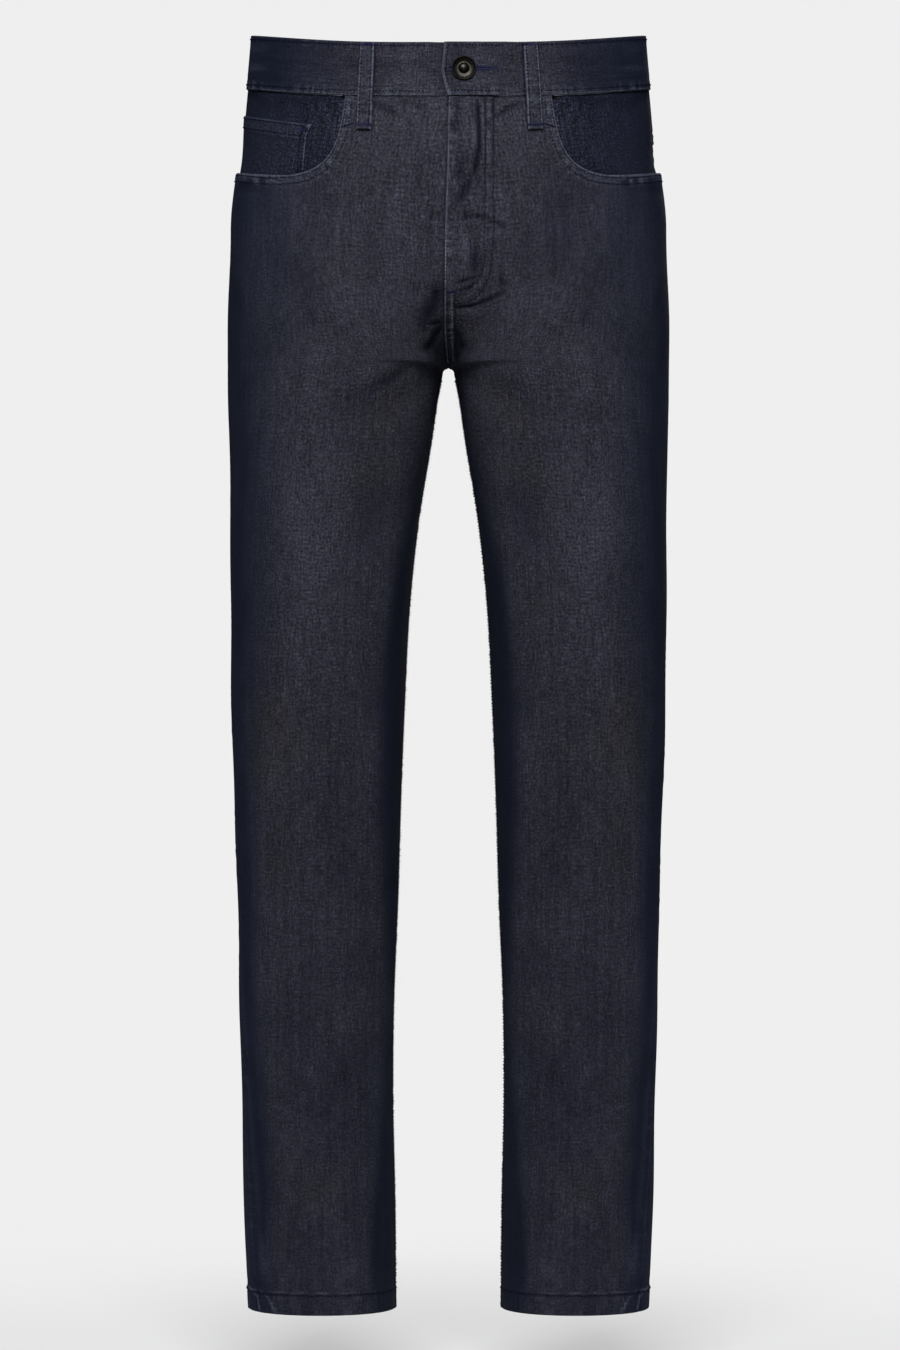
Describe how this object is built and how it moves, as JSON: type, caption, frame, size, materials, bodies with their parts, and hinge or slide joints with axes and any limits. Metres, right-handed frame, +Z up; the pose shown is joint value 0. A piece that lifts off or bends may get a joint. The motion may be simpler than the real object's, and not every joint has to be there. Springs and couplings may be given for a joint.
{
  "type": "skinny jeans",
  "caption": "slim denim jeans filled out as worn, hollow, with shank button, belt loops, coin pocket and yokes; open at waist and hems",
  "frame": {"origin": "centre of the waist opening, half way up the waistband at the side, where the wearer's waist holds the garment", "axes": "+Z up from hem to waist, front of the garment towards -Y, wearer's left towards +X"},
  "size_m": [0.366, 0.2557, 1.0608],
  "materials": {
    "denim": "dark blue-grey denim twill, matt",
    "facing_denim": "dark navy denim twill, matt",
    "zip_tape": "dark woven tape with a metal chain",
    "button_metal": "black nickel, polished dome in a dished ring"
  },
  "bodies": {
    "root": {"front_panel_left": "denim", "front_panel_right": "denim", "back_panel_left": "denim", "back_panel_right": "denim", "yoke_left": "denim", "yoke_right": "denim", "waistband": "denim", "pocket_facing_left": "facing_denim", "pocket_facing_right": "facing_denim", "coin_pocket": "facing_denim", "back_pocket_left": "denim", "back_pocket_right": "denim", "belt_loop_front_left": "denim", "belt_loop_front_right": "denim", "belt_loop_back_left": "denim", "belt_loop_back_right": "denim", "belt_loop_centre": "denim", "fly_zip": "zip_tape", "button": "button_metal", "button_tack": "button_metal"}
  },
  "joints": []
}
